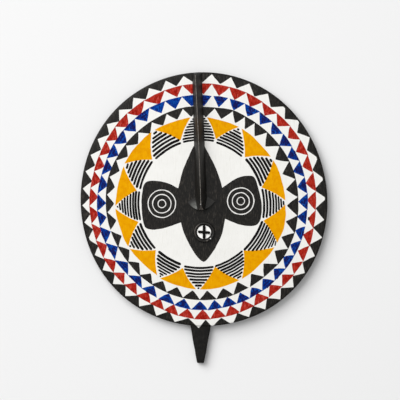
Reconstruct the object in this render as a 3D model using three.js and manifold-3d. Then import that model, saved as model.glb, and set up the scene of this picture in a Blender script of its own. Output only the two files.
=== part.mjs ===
// Sun mask, in millimetres.
// A round wooden board with a pointed peg below, carved in one piece: a low crowned face, a long
// sharp ridge that runs down from the top edge and ends in a flared nose, and under it a round
// mouth with a cross left standing in its hollow.
// The mask lies on its flat back, face up: +Z comes out of the face, +Y is the mask's top, and the
// origin is in the middle of the back.

import * as THREE from 'three';
import { ConvexGeometry } from 'three/addons/geometries/ConvexGeometry.js';
import { mergeVertices } from 'three/addons/utils/BufferGeometryUtils.js';
import Module from 'manifold-3d';

// Board
const BOARD_DIAMETER = 480;
const RIM_THICKNESS = 22;
const CROWN_HEIGHT = 6;
const FRONT_ROUNDING = 3;
const BACK_ROUNDING = 2;

// How far the hand-cut edge swings out of a true round, by the number of swings in one turn
const EDGE_WANDER = [
  { swings: 1, cosine: 1.7, sine: 0.6 },
  { swings: 2, cosine: -3.4, sine: -1.1 },
  { swings: 3, cosine: 0.2, sine: -1.0 },
  { swings: 4, cosine: -0.7, sine: -0.3 },
];

// Ridge, from the top edge of the board down to the nose
const RIDGE_TOP_WIDTH = 19.4;
const RIDGE_NOSE_WIDTH = 22.4;
const RIDGE_HEIGHT = 24;
const CREST_FLAT = 1.2;
const RIDGE_TOP_X = -11;
const RIDGE_NOSE_X = -2.8;
const CREST_TOP_SHIFT = -3.6;
const CREST_NOSE_SHIFT = -1.0;
const RIDGE_END_SLOPE = 4;
const NOSE_X = -4.7;
const CREST_END_Y = -9.5;

// Nose, the flare at the ridge's lower end
const NOSE_BOTTOM_Y = -18.9;
const NOSE_BOTTOM_HEIGHT = 8.5;
const NOSE_LEFT_REACH = 24;
const NOSE_RIGHT_REACH = 27.5;
const NOSE_LEFT_RISE = 13.9;
const NOSE_RIGHT_RISE = 16.4;
const NOSE_TIP_HEIGHT = 3;
const NOSE_SHOULDER_REACH = 22.5;
const NOSE_SHOULDER_Y = 0;
const NOSE_ROOT_Y = 6;

// Mouth
const MOUTH_X = 2.4;
const MOUTH_DROP = 42.8;
const MOUTH_OUTER_DIAMETER = 39.6;
const MOUTH_STRETCH = 1.03;
const LIP_HEIGHT = 7;
const LIP_TOP_WIDTH = 3;
const LIP_EDGE_ROUNDING = 0.8;
const HOLLOW_DIAMETER = 26.8;
const HOLLOW_DEPTH = 4;
const CROSS_BAR_WIDTH = 5.6;
const CROSS_BAR_HEIGHT = 2.6;
const CROSS_CLEARANCE = 1.2;

// Peg below the board
const PEG_X = -4.6;
const PEG_LENGTH = 71.5;
const PEG_ROOT_WIDTH = 39;
const PEG_TIP_WIDTH = 13.4;
const PEG_BACK_INSET = 2.6;
const PEG_ROOT_THICKNESS = 15.6;
const PEG_TIP_THICKNESS = 11;
const PEG_EDGE_CHAMFER = 2.2;
const PEG_TIP_ROUNDING = 2.4;

// How deep a carved form reaches into the board that carries it, and how far below the face its
// visible sides begin
const ROOT_DEPTH = 8;
const FOOT_SINK = 0.7;

// Fineness of the faceted surfaces
const BOARD_SIDES = 120;
const CROWN_STEPS = 6;
const ROUNDING_STEPS = 3;
const RIDGE_STEPS = 8;
const NOSE_STEPS = 10;
const MOUTH_SIDES = 40;

const TURN = 2 * Math.PI;
const QUARTER = Math.PI / 2;

const manifold = await Module();
manifold.setup();

// Radius of the board's hand-cut edge in a direction, counter-clockwise from +X
function edgeRadius(angle) {
  let radius = BOARD_DIAMETER / 2;
  for (const { swings, cosine, sine } of EDGE_WANDER) {
    radius += cosine * Math.cos(swings * angle) + sine * Math.sin(swings * angle);
  }
  return radius;
}

// Height of the crowned face over the back
function faceHeight(x, y) {
  const reach = edgeRadius(Math.atan2(y, x)) - FRONT_ROUNDING;
  const share = Math.min(1, Math.hypot(x, y) / reach);
  return RIM_THICKNESS + CROWN_HEIGHT * (1 - share * share);
}

// A closed geometry as a solid that can be joined and cut
function toSolid(geometry) {
  geometry.deleteAttribute('normal');
  geometry.deleteAttribute('uv');
  const merged = mergeVertices(geometry, 1e-4);
  const corners = merged.index.array;
  const kept = [];
  for (let i = 0; i < corners.length; i += 3) {
    const [a, b, c] = [corners[i], corners[i + 1], corners[i + 2]];
    if (a !== b && b !== c && c !== a) {
      kept.push(a, b, c);
    }
  }
  const mesh = new manifold.Mesh({
    numProp: 3,
    vertProperties: new Float32Array(merged.attributes.position.array),
    triVerts: new Uint32Array(kept),
  });
  return new manifold.Manifold(mesh);
}

// A solid as a geometry with flat facets
function toGeometry(solid) {
  const { vertProperties, triVerts } = solid.getMesh();
  const geometry = new THREE.BufferGeometry();
  geometry.setAttribute('position', new THREE.BufferAttribute(new Float32Array(vertProperties), 3));
  geometry.setIndex(new THREE.BufferAttribute(new Uint32Array(triVerts), 1));
  geometry.computeVertexNormals();
  return geometry;
}

// A skin over rings of equal count, each counter-clockwise when seen from the last ring's end,
// closed at both ends by a fan
function loft(rings) {
  const count = rings[0].length;
  const points = rings.flat();
  const faces = [];
  for (let ring = 0; ring + 1 < rings.length; ring++) {
    for (let i = 0; i < count; i++) {
      const next = (i + 1) % count;
      const low = ring * count;
      const high = low + count;
      faces.push(low + i, low + next, high + next);
      faces.push(low + i, high + next, high + i);
    }
  }
  const last = (rings.length - 1) * count;
  const first = points.length;
  for (const ring of [rings[0], rings[rings.length - 1]]) {
    const middle = new THREE.Vector3();
    ring.forEach((point) => middle.add(point));
    points.push(middle.divideScalar(count));
  }
  for (let i = 0; i < count; i++) {
    const next = (i + 1) % count;
    faces.push(first, next, i);
    faces.push(first + 1, last + i, last + next);
  }
  const geometry = new THREE.BufferGeometry().setFromPoints(points);
  geometry.setIndex(faces);
  return geometry;
}

// The round board: flat back, rounded edges and a low crown on the face
function board() {
  const levels = [];
  for (let step = 0; step <= ROUNDING_STEPS; step++) {
    const turn = QUARTER * step / ROUNDING_STEPS;
    const inset = BACK_ROUNDING * (1 - Math.sin(turn));
    levels.push({ share: 1, inset, z: BACK_ROUNDING * (1 - Math.cos(turn)) });
  }
  for (let step = 0; step < ROUNDING_STEPS; step++) {
    const turn = QUARTER * step / ROUNDING_STEPS;
    const inset = FRONT_ROUNDING * (1 - Math.cos(turn));
    levels.push({ share: 1, inset, z: RIM_THICKNESS - FRONT_ROUNDING * (1 - Math.sin(turn)) });
  }
  for (let step = 0; step < CROWN_STEPS; step++) {
    const share = 1 - step / CROWN_STEPS;
    const z = RIM_THICKNESS + CROWN_HEIGHT * (1 - share * share);
    levels.push({ share, inset: FRONT_ROUNDING * share, z });
  }
  const rings = levels.map(({ share, inset, z }) => {
    const ring = [];
    for (let i = 0; i < BOARD_SIDES; i++) {
      const angle = TURN * i / BOARD_SIDES;
      const radius = edgeRadius(angle) * share - inset;
      ring.push(new THREE.Vector3(radius * Math.cos(angle), radius * Math.sin(angle), z));
    }
    return ring;
  });
  return toSolid(loft(rings));
}

// The ridge: steep sides up to a narrow crest that keeps one height over the crowned face
function ridge() {
  const topY = edgeRadius(QUARTER) - FRONT_ROUNDING / 2;
  const rings = [];
  for (let step = 0; step <= RIDGE_STEPS; step++) {
    const share = step / RIDGE_STEPS;
    const y = THREE.MathUtils.lerp(topY, NOSE_BOTTOM_Y, share);
    const middle = THREE.MathUtils.lerp(RIDGE_TOP_X, RIDGE_NOSE_X, share);
    const crest = middle + THREE.MathUtils.lerp(CREST_TOP_SHIFT, CREST_NOSE_SHIFT, share);
    const halfWidth = THREE.MathUtils.lerp(RIDGE_TOP_WIDTH, RIDGE_NOSE_WIDTH, share) / 2;
    const foot = faceHeight(middle, y);
    const crestY = step === 0 ? y - RIDGE_END_SLOPE : y;
    // The sides run on down into the board at their own slope
    const low = -ROOT_DEPTH / RIDGE_HEIGHT;
    const right = THREE.MathUtils.lerp(middle + halfWidth, crest + CREST_FLAT / 2, low);
    const left = THREE.MathUtils.lerp(middle - halfWidth, crest - CREST_FLAT / 2, low);
    rings.push([
      new THREE.Vector3(left, y, foot - ROOT_DEPTH),
      new THREE.Vector3(right, y, foot - ROOT_DEPTH),
      new THREE.Vector3(crest + CREST_FLAT / 2, crestY, foot + RIDGE_HEIGHT),
      new THREE.Vector3(crest - CREST_FLAT / 2, crestY, foot + RIDGE_HEIGHT),
    ]);
  }
  return toSolid(loft(rings)).subtract(noseTipCut());
}

// What is cut away in front of the crest's end: all above a slope down to the nose's lower edge
function noseTipCut() {
  const crestZ = faceHeight(NOSE_X, CREST_END_Y) + RIDGE_HEIGHT;
  const edgeZ = faceHeight(NOSE_X, NOSE_BOTTOM_Y) + NOSE_BOTTOM_HEIGHT;
  const slope = (crestZ - edgeZ) / (CREST_END_Y - NOSE_BOTTOM_Y);
  const beyond = RIDGE_HEIGHT;
  const side = new THREE.Shape([
    new THREE.Vector2(CREST_END_Y + beyond, crestZ + slope * beyond),
    new THREE.Vector2(NOSE_BOTTOM_Y - beyond, crestZ + slope * beyond),
    new THREE.Vector2(NOSE_BOTTOM_Y - beyond, edgeZ - slope * beyond),
  ]);
  const block = new THREE.ExtrudeGeometry(side, { depth: 2 * RIDGE_NOSE_WIDTH, bevelEnabled: false });
  // The side view's axes become Y and Z, and the depth runs along X
  block.applyMatrix4(new THREE.Matrix4().makeBasis(
    new THREE.Vector3(0, 1, 0),
    new THREE.Vector3(0, 0, 1),
    new THREE.Vector3(1, 0, 0),
  ));
  block.translate(NOSE_X - RIDGE_NOSE_WIDTH, 0, 0);
  return toSolid(block);
}

// The nose's flare: a ramp that rises from the face towards a bow-shaped lower edge
function noseFlare() {
  const foot = faceHeight(NOSE_X, NOSE_BOTTOM_Y);
  const points = [];
  const addPost = (x, y, height) => {
    points.push(new THREE.Vector3(x, y, foot - ROOT_DEPTH));
    points.push(new THREE.Vector3(x, y, foot + height));
  };
  for (let step = 0; step <= NOSE_STEPS; step++) {
    const share = 2 * step / NOSE_STEPS - 1;
    const reach = share < 0 ? NOSE_LEFT_REACH : NOSE_RIGHT_REACH;
    const rise = share < 0 ? NOSE_LEFT_RISE : NOSE_RIGHT_RISE;
    const height = THREE.MathUtils.lerp(NOSE_BOTTOM_HEIGHT, NOSE_TIP_HEIGHT, share * share);
    addPost(NOSE_X + share * reach, NOSE_BOTTOM_Y + rise * share * share, height);
  }
  for (const side of [-1, 1]) {
    addPost(NOSE_X + side * NOSE_SHOULDER_REACH, NOSE_SHOULDER_Y, -FOOT_SINK);
    addPost(RIDGE_NOSE_X + side * RIDGE_NOSE_WIDTH / 2, NOSE_ROOT_Y, -FOOT_SINK);
  }
  return toSolid(new ConvexGeometry(points));
}

// The mouth: a sloped lip round a flat-floored hollow, with a cross left standing in it
function mouth() {
  const y = NOSE_BOTTOM_Y - MOUTH_DROP;
  const outer = MOUTH_OUTER_DIAMETER / 2;
  const hollow = HOLLOW_DIAMETER / 2;
  const slope = outer - hollow - LIP_TOP_WIDTH;
  const floor = LIP_HEIGHT - HOLLOW_DEPTH;
  const profile = [new THREE.Vector2(0, -ROOT_DEPTH), new THREE.Vector2(outer, -ROOT_DEPTH)];
  for (let step = 0; step <= ROUNDING_STEPS; step++) {
    const turn = QUARTER * step / ROUNDING_STEPS;
    const z = THREE.MathUtils.lerp(-FOOT_SINK, LIP_HEIGHT, Math.sin(turn));
    profile.push(new THREE.Vector2(outer - slope * (1 - Math.cos(turn)), z));
  }
  profile.push(
    new THREE.Vector2(hollow + LIP_EDGE_ROUNDING, LIP_HEIGHT),
    new THREE.Vector2(hollow, LIP_HEIGHT - LIP_EDGE_ROUNDING),
    new THREE.Vector2(hollow, floor),
    new THREE.Vector2(0, floor),
  );
  const lip = new THREE.LatheGeometry(profile, MOUTH_SIDES, TURN / MOUTH_SIDES / 2);
  lip.rotateX(QUARTER);
  const cross = new THREE.ExtrudeGeometry(crossOutline(), {
    depth: CROSS_BAR_HEIGHT + ROOT_DEPTH / 2,
    bevelEnabled: false,
    curveSegments: ROUNDING_STEPS * 2,
  });
  cross.translate(0, 0, floor - ROOT_DEPTH / 2);
  return toSolid(lip)
    .add(toSolid(cross))
    .scale([MOUTH_STRETCH, 1 / MOUTH_STRETCH, 1])
    .translate([MOUTH_X, y, faceHeight(MOUTH_X, y)]);
}

// Outline of the cross: four bars with round ends that stop just short of the hollow's wall
function crossOutline() {
  const half = CROSS_BAR_WIDTH / 2;
  const reach = HOLLOW_DIAMETER / 2 - CROSS_CLEARANCE - half;
  const outline = new THREE.Shape();
  outline.moveTo(half, -half);
  for (let bar = 0; bar < 4; bar++) {
    const turn = QUARTER * bar;
    const [x, y] = [reach * Math.cos(turn), reach * Math.sin(turn)];
    outline.absarc(x, y, half, turn - QUARTER, turn + QUARTER, false);
    const corner = turn + QUARTER / 2;
    outline.lineTo(half * Math.SQRT2 * Math.cos(corner), half * Math.SQRT2 * Math.sin(corner));
  }
  return outline;
}

// One section of the peg, a little in front of the board's back, with its four long edges cut off
function pegSection(y, width, thickness) {
  const half = width / 2;
  const cut = Math.min(PEG_EDGE_CHAMFER, width / 4, thickness / 4);
  return [
    [-half + cut, 0],
    [half - cut, 0],
    [half, cut],
    [half, thickness - cut],
    [half - cut, thickness],
    [-half + cut, thickness],
    [-half, thickness - cut],
    [-half, cut],
  ].map(([x, z]) => new THREE.Vector3(PEG_X + x, y, PEG_BACK_INSET + z));
}

// The peg: tapers in width and thickness down to a small round-cornered end
function peg() {
  const rootY = -edgeRadius(-QUARTER);
  const taper = (share) => ({
    y: rootY - PEG_LENGTH * share,
    width: THREE.MathUtils.lerp(PEG_ROOT_WIDTH, PEG_TIP_WIDTH, share),
    thickness: THREE.MathUtils.lerp(PEG_ROOT_THICKNESS, PEG_TIP_THICKNESS, share),
  });
  const sections = [taper(-2 * ROOT_DEPTH / PEG_LENGTH)];
  for (let step = 0; step <= ROUNDING_STEPS; step++) {
    const turn = QUARTER * step / ROUNDING_STEPS;
    const end = taper(1 - PEG_TIP_ROUNDING * (1 - Math.sin(turn)) / PEG_LENGTH);
    end.width -= 2 * PEG_TIP_ROUNDING * (1 - Math.cos(turn));
    end.thickness -= PEG_TIP_ROUNDING * (1 - Math.cos(turn));
    sections.push(end);
  }
  return toSolid(loft(sections.map(({ y, width, thickness }) => pegSection(y, width, thickness))));
}

const carving = board().add(peg()).add(ridge()).add(noseFlare()).add(mouth());

const mask = new THREE.Mesh(
  toGeometry(carving),
  new THREE.MeshStandardMaterial({ color: '#2d2b28', roughness: 0.6, metalness: 0 }),
);
mask.name = 'sun_mask';

const sunMask = new THREE.Group();
sunMask.add(mask);

export default sunMask;
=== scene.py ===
"""Sun mask: a round board carved in one piece with its ridge, nose, mouth and peg, painted by hand.

The mask lies on its flat back and is seen straight from above. Lengths in the classes are real
millimetres in the frame of the CAD part: +X right, +Y towards the mask's top, +Z out of the face.
"""

import logging
import math
import random
from dataclasses import dataclass, field, replace
from enum import Enum
from typing import Callable, Iterable, Optional, Sequence

import bpy
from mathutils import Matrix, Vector, geometry, kdtree, noise


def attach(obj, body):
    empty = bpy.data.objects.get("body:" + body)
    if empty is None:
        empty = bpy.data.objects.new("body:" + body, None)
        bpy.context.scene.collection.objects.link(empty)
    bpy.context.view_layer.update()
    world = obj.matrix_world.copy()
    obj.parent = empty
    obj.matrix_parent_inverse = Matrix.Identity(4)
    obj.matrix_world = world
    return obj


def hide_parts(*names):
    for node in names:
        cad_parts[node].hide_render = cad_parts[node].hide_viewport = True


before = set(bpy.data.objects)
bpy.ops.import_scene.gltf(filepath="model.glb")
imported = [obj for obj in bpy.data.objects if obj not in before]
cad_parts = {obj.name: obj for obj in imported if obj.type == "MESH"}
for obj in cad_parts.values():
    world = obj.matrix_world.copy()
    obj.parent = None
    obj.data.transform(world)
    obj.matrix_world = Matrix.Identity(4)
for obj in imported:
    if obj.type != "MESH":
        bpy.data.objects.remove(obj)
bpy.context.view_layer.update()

log = logging.getLogger("sun mask")

# One millimetre, in metres
MM = 0.001
Point = tuple[float, float]
Place = tuple[float, float, float]
TREMBLE_SEED = 11


class Paint(Enum):
    """What covers a face of the carving, in the order of the piece's material slots."""

    BLACK = 0
    WHITE = 1
    RED = 2
    BLUE = 3
    DEEP_BLUE = 4
    YELLOW = 5
    BRUSH_BLACK = 6
    RUBBED = 7
    HANDLED = 8
    WORN_NOSE = 9
    KNIFED_BLACK = 10
    WORN_BLACK = 11
    MOUTH_WHITE = 12
    BARE_WOOD = 13


# Small helpers


def linear(hex_colour: str) -> tuple[float, float, float, float]:
    """Turns an sRGB colour such as "#aabbcc" into the linear colour that shaders take.

    Args:
        hex_colour: The colour as six hex digits after a hash.

    Returns:
        Linear red, green, blue, and an alpha of one.
    """
    shares = [int(hex_colour[i:i + 2], 16) / 255 for i in (1, 3, 5)]
    red, green, blue = (
        s / 12.92 if s <= 0.04045 else ((s + 0.055) / 1.055) ** 2.4 for s in shares
    )
    return red, green, blue, 1.0


def add_node(
    tree: bpy.types.NodeTree, kind: str, links: Optional[dict] = None, **settings,
) -> bpy.types.Node:
    """Adds one node with its settings and links.

    Args:
        tree: The node tree that gets the node.
        kind: The node's type name.
        links: Sockets of other nodes that feed this node's inputs, by input name or number.
        settings: Attributes of the node; a name that is an input's sets that input's value.

    Returns:
        The new node.
    """
    node = tree.nodes.new(kind)
    for key, value in settings.items():
        name = key.replace("_", " ")
        if hasattr(node, key):
            setattr(node, key, value)
        elif name.title() in node.inputs:
            node.inputs[name.title()].default_value = value
        else:
            node.inputs[name].default_value = value
    for key, socket in (links or {}).items():
        tree.links.new(socket, node.inputs[key])
    return node


def only_select(thing: bpy.types.Object) -> None:
    """Deselects everything, then selects one object and makes it active."""
    bpy.ops.object.select_all(action="DESELECT")
    thing.select_set(True)
    bpy.context.view_layer.objects.active = thing


def in_edit_mode(thing: bpy.types.Object, mode: str = "EDGE") -> None:
    """Opens an object in edit mode with nothing selected, in the given select mode."""
    only_select(thing)
    bpy.ops.object.mode_set(mode="EDIT")
    bpy.ops.mesh.select_mode(type=mode)
    bpy.ops.mesh.select_all(action="DESELECT")


def pick_edges(
    thing: bpy.types.Object, test: Callable[[Vector, Vector], bool], more: bool = False,
) -> None:
    """Opens an object in edit mode with those edges selected that pass a test.

    Args:
        thing: The object.
        test: Says of the places of an edge's two ends whether the edge counts.
        more: Whether the faces that are selected already stay selected too.
    """
    bpy.ops.object.mode_set(mode="OBJECT")
    if not more:
        in_edit_mode(thing)
        bpy.ops.object.mode_set(mode="OBJECT")
    corners = thing.data.vertices
    for edge in thing.data.edges:
        edge.select = test(*(corners[number].co for number in edge.vertices))
    bpy.ops.object.mode_set(mode="EDIT")


def round_edges(width: float, segments: int) -> None:
    """Bevels the selected edges by a width in millimetres."""
    bpy.ops.mesh.bevel(offset=width * MM, segments=segments, affect="EDGES", clamp_overlap=True)


def block(name: str) -> bpy.types.Object:
    """Adds the plain block that a form is shaped from, with its corners at one to either side.

    Args:
        name: The object's name.

    Returns:
        The block, selected alone.
    """
    bpy.ops.object.select_all(action="DESELECT")
    bpy.ops.mesh.primitive_cube_add(size=2, location=(0, 0, 0))
    made = bpy.context.object
    made.name = name
    return made


def mesh_object(
    name: str, places: Iterable[Place], edges: Sequence = (), faces: Sequence = (),
) -> bpy.types.Object:
    """Makes an object from places in millimetres.

    Args:
        name: The object's name.
        places: Corners, in millimetres.
        edges: Pairs of corner numbers.
        faces: Runs of corner numbers.

    Returns:
        The new object, selected alone.
    """
    mesh = bpy.data.meshes.new(name)
    mesh.from_pydata([Vector(place) * MM for place in places], edges, faces)
    made = bpy.data.objects.new(name, mesh)
    bpy.context.scene.collection.objects.link(made)
    only_select(made)
    return made


def cover(thing: bpy.types.Object, paint: Paint) -> None:
    """Gives every face of an object one paint."""
    for face in thing.data.polygons:
        face.material_index = paint.value


def outward(thing: bpy.types.Object) -> None:
    """Merges doubled corners and turns every face outward."""
    in_edit_mode(thing)
    bpy.ops.mesh.select_all(action="SELECT")
    bpy.ops.mesh.remove_doubles(threshold=0.01 * MM)
    bpy.ops.mesh.normals_make_consistent(inside=False)
    bpy.ops.object.mode_set(mode="OBJECT")


def between(anchors: Sequence[Point], count: int) -> list[float]:
    """Angles of evenly brushed teeth between a few that are given.

    Args:
        anchors: Pairs of a tooth's number and its angle in degrees, from tooth 0 on.
        count: How many teeth the whole turn has.

    Returns:
        One angle per tooth, in degrees.
    """
    stops = [*anchors, (count, anchors[0][1] + 360)]
    angles = []
    for (start, low), (end, high) in zip(stops, stops[1:]):
        angles += [low + (high - low) * step / (end - start) for step in range(end - start)]
    return angles


def is_near(degrees: float, places: Iterable[float], within: float = 2) -> bool:
    """Whether a direction lies within a few degrees of one of the given places."""
    return any(abs(degrees - place) < within for place in places)


def drift(along: float, length: float, layer: float, across: float = 0) -> float:
    """Smooth unevenness of a hand-carved edge.

    Args:
        along: Place along the edge, in millimetres.
        length: How long its waves are, in millimetres.
        layer: Tells the waves of one edge or height from another's.
        across: Tells the two sides of a form apart.

    Returns:
        A number between about -1 and 1.
    """
    return noise.noise(Vector((across, along / length, layer)))


# The board's outline and face, as the CAD part has them


@dataclass(frozen=True)
class Board:
    """The round board: hand-cut edge, low crowned face, rounded rim."""

    diameter: float = 480
    rim_thickness: float = 22
    crown_height: float = 6
    front_rounding: float = 3
    back_rounding: float = 2
    # Swings in one turn, with the cosine and sine part of how far each takes the edge out
    wander: tuple = ((1, 1.7, 0.6), (2, -3.4, -1.1), (3, 0.2, -1.0), (4, -0.7, -0.3))
    outline_points: int = 360

    def edge(self, angle: float) -> float:
        """Radius of the board's edge in a direction, in radians from +X."""
        return self.diameter / 2 + sum(
            cosine * math.cos(swings * angle) + sine * math.sin(swings * angle)
            for swings, cosine, sine in self.wander
        )

    def on_edge(self, angle: float, inset: float = 0) -> Point:
        """The point of the outline in a direction, moved inward by an inset."""
        radius = self.edge(angle) - inset
        return radius * math.cos(angle), radius * math.sin(angle)

    def outline(self, inset: float = 0) -> list[Point]:
        """The whole outline in even turns, moved inward by an inset."""
        count = self.outline_points
        return [self.on_edge(math.tau * i / count, inset) for i in range(count)]

    def height(self, x: float, y: float) -> float:
        """Height of the face over the back.

        Args:
            x: Place across, in millimetres.
            y: Place up, in millimetres.

        Returns:
            The height in millimetres, on the crown or on the rounded rim.
        """
        radius = math.hypot(x, y)
        reach = self.edge(math.atan2(y, x)) - self.front_rounding
        if radius <= reach:
            return self.rim_thickness + self.crown_height * (1 - (radius / reach) ** 2)
        out = min(radius - reach, self.front_rounding)
        drop = self.front_rounding - math.sqrt(self.front_rounding ** 2 - out ** 2)
        return self.rim_thickness - drop


# The painted pattern


def swing(swings: Sequence[Point], degrees: float) -> float:
    """How far the painter's hand swung out of a true line in a direction.

    Args:
        swings: Pairs of an angle in degrees, rising within one turn, and millimetres outward.
        degrees: The direction.

    Returns:
        Millimetres outward, eased from one pair to the next.
    """
    if not swings:
        return 0.0
    turned = (degrees - swings[0][0]) % 360 + swings[0][0]
    stops = [*swings, (swings[0][0] + 360, swings[0][1])]
    for (start, low), (end, high) in zip(stops, stops[1:]):
        if turned <= end:
            share = (1 - math.cos(math.pi * (turned - start) / (end - start))) / 2
            return low + (high - low) * share
    return swings[0][1]


@dataclass(frozen=True)
class Oval:
    """A hand-drawn circle: its middle, its two radii and where the hand swung out or in."""

    x: float
    y: float
    across: float
    up: float
    swings: tuple = ()

    def at(self, degrees: float, inward: float = 0) -> Point:
        """The point in a direction about the oval's own middle, moved inward."""
        angle = math.radians(degrees)
        out = swing(self.swings, degrees) - inward
        return (
            self.x + (self.across + out) * math.cos(angle),
            self.y + (self.up + out) * math.sin(angle),
        )

    def ring(self, count: int) -> list[Point]:
        """The whole oval as so many points."""
        return [self.at(360 * i / count) for i in range(count)]


@dataclass
class Pattern:
    """Closed shapes of paint, each laid over the ones before it."""

    shapes: list[tuple[Paint, list[Point]]] = field(default_factory=list)
    step: float = 2.4
    tremble: float = 0.42
    tremble_size: float = 9
    # How far apart in the noise two paints take their tremble
    layer_step: float = 7

    def side(self, start: Point, end: Point, bow: float = 0) -> list[Point]:
        """One brushed edge, without its last point.

        Args:
            start: Where the edge begins.
            end: Where it ends.
            bow: How far its middle swings to the left of the way, in millimetres.

        Returns:
            Points along the edge.
        """
        along = Vector(end) - Vector(start)
        left = Vector((-along.y, along.x)).normalized()
        count = max(1, round(along.length / self.step))
        return [
            tuple(Vector(start) + along * (i / count) + left * bow * math.sin(math.pi * i / count))
            for i in range(count)
        ]

    def closed(self, corners: Sequence[Point], bows: Sequence[float] = ()) -> list[Point]:
        """A closed shape through corners, its sides bowed in turn."""
        points = []
        for i, corner in enumerate(corners):
            bow = bows[i % len(bows)] if bows else 0
            points += self.side(corner, corners[(i + 1) % len(corners)], bow)
        return points

    def lay(self, paint: Paint, points: Sequence[Point], tremble: float = 1) -> None:
        """Adds a shape, with the small tremble of the painter's hand.

        Args:
            paint: What it is painted with.
            points: The shape's outline.
            tremble: Share of the usual tremble.
        """
        shaken = []
        layer = self.layer_step * paint.value
        for x, y in points:
            place = Vector((x / self.tremble_size, y / self.tremble_size, layer))
            shift = noise.noise_vector(place) * self.tremble * tremble
            shaken.append((x + shift.x, y + shift.y))
        self.shapes.append((paint, shaken))


@dataclass
class ToothBand:
    """A ring of painted triangles that stand on one circle and point inward."""

    paint: Paint
    circle: Oval
    anchors: tuple
    count: int
    depth: float
    seed: int
    depth_sine: float = 0
    depth_cosine_twice: float = 0
    depth_spread: float = 1.1
    # How far a base corner keeps off the middle between two teeth, and how far in it lies
    corner_gap: tuple = (-1.0, 0.1)
    corner_inward: tuple = (-0.7, 0.3)
    side_bow: tuple = (-1.2, 0.1)
    base_bow: tuple = (0.3, 1.0)
    # How far a tooth's point strays to the side, in degrees
    tip_stray: float = 0.25
    # Directions where the ground shows between two teeth, and how much of it
    breaks: tuple = ()
    break_width: float = 3.2
    # Directions of the teeth that came out short, each with what it lacks
    cut_short: tuple = ()

    def lay_on(self, pattern: Pattern) -> None:
        """Paints every triangle of the ring.

        Args:
            pattern: The pattern that gets the triangles.
        """
        chance = random.Random(self.seed)
        points = between(self.anchors, self.count)
        for number, middle in enumerate(points):
            before = points[number - 1] - (360 if number == 0 else 0)
            after = points[(number + 1) % self.count] + (360 if number == self.count - 1 else 0)
            angle = math.radians(middle)
            depth = (
                self.depth
                + self.depth_sine * math.sin(angle)
                + self.depth_cosine_twice * math.cos(2 * angle)
                + chance.uniform(-self.depth_spread, self.depth_spread)
                - sum(loss for place, loss in self.cut_short if is_near(middle, [place]))
            )
            ends = []
            for side, turn in (((before + middle) / 2, 1), ((after + middle) / 2, -1)):
                gap = chance.uniform(*self.corner_gap)
                if is_near(side % 360, self.breaks):
                    gap = self.break_width / 2
                side += turn * math.degrees(gap / self.circle.across)
                ends.append(self.circle.at(side, chance.uniform(*self.corner_inward)))
            stray = chance.uniform(-self.tip_stray, self.tip_stray)
            corners = [ends[1], self.circle.at(middle + stray, depth), ends[0]]
            bows = [chance.uniform(*self.side_bow) for _ in range(2)]
            bows.append(-chance.uniform(*self.base_bow))
            pattern.lay(self.paint, pattern.closed(corners, bows))
            self.lay_heart(pattern, corners, chance)

    def lay_heart(self, pattern: Pattern, corners: Sequence[Point], chance: random.Random) -> None:
        """Lays the second coat inside a triangle; a plain band has none."""


@dataclass
class TwiceCoatedBand(ToothBand):
    """A tooth band whose triangles carry a few strokes of a darker second coat."""

    coat: Paint = Paint.DEEP_BLUE
    strokes: int = 3
    # Between these directions, in degrees, one bright coat was enough
    one_coat: tuple = (93, 119)
    # As shares of the triangle: how far the strokes as a whole, and each one's ends, lie from
    # where an even spacing has them, how far they keep off the sides, and half their width
    first_inset: float = 0.45
    stray: float = 0.07
    keep_off: tuple = (0.05, 0.36)
    half_width: tuple = (0.07, 0.15)
    stroke_bow: float = 0.5
    raggedness: float = 2.2

    def lay_heart(self, pattern: Pattern, corners: Sequence[Point], chance: random.Random) -> None:
        """Lays the second coat.

        Args:
            pattern: The pattern that gets it.
            corners: The triangle's corners.
            chance: The band's own random numbers.
        """
        middle = sum((Vector(corner) for corner in corners), Vector((0, 0))) / 3
        if self.one_coat[0] < math.degrees(math.atan2(middle.y, middle.x)) < self.one_coat[1]:
            return
        last, tip, first = (Vector(corner) for corner in corners)
        down = tip - (first + last) / 2
        for step in range(self.strokes):
            share = (step + self.first_inset) / (self.strokes + 2 * self.first_inset)
            ends = []
            for side, other in ((first, last), (last, first)):
                place = share + chance.uniform(-self.stray, self.stray)
                near, far = side.lerp(tip, place), other.lerp(tip, place)
                ends.append(near.lerp(far, chance.uniform(*self.keep_off)))
            half = [down * chance.uniform(*self.half_width) for _ in range(2)]
            stroke = [ends[0] - half[0], ends[1] - half[1], ends[1] + half[1], ends[0] + half[0]]
            bows = [chance.uniform(-self.stroke_bow, self.stroke_bow) for _ in range(4)]
            outline = pattern.closed([tuple(point) for point in stroke], bows)
            pattern.lay(self.coat, outline, tremble=self.raggedness)


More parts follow.
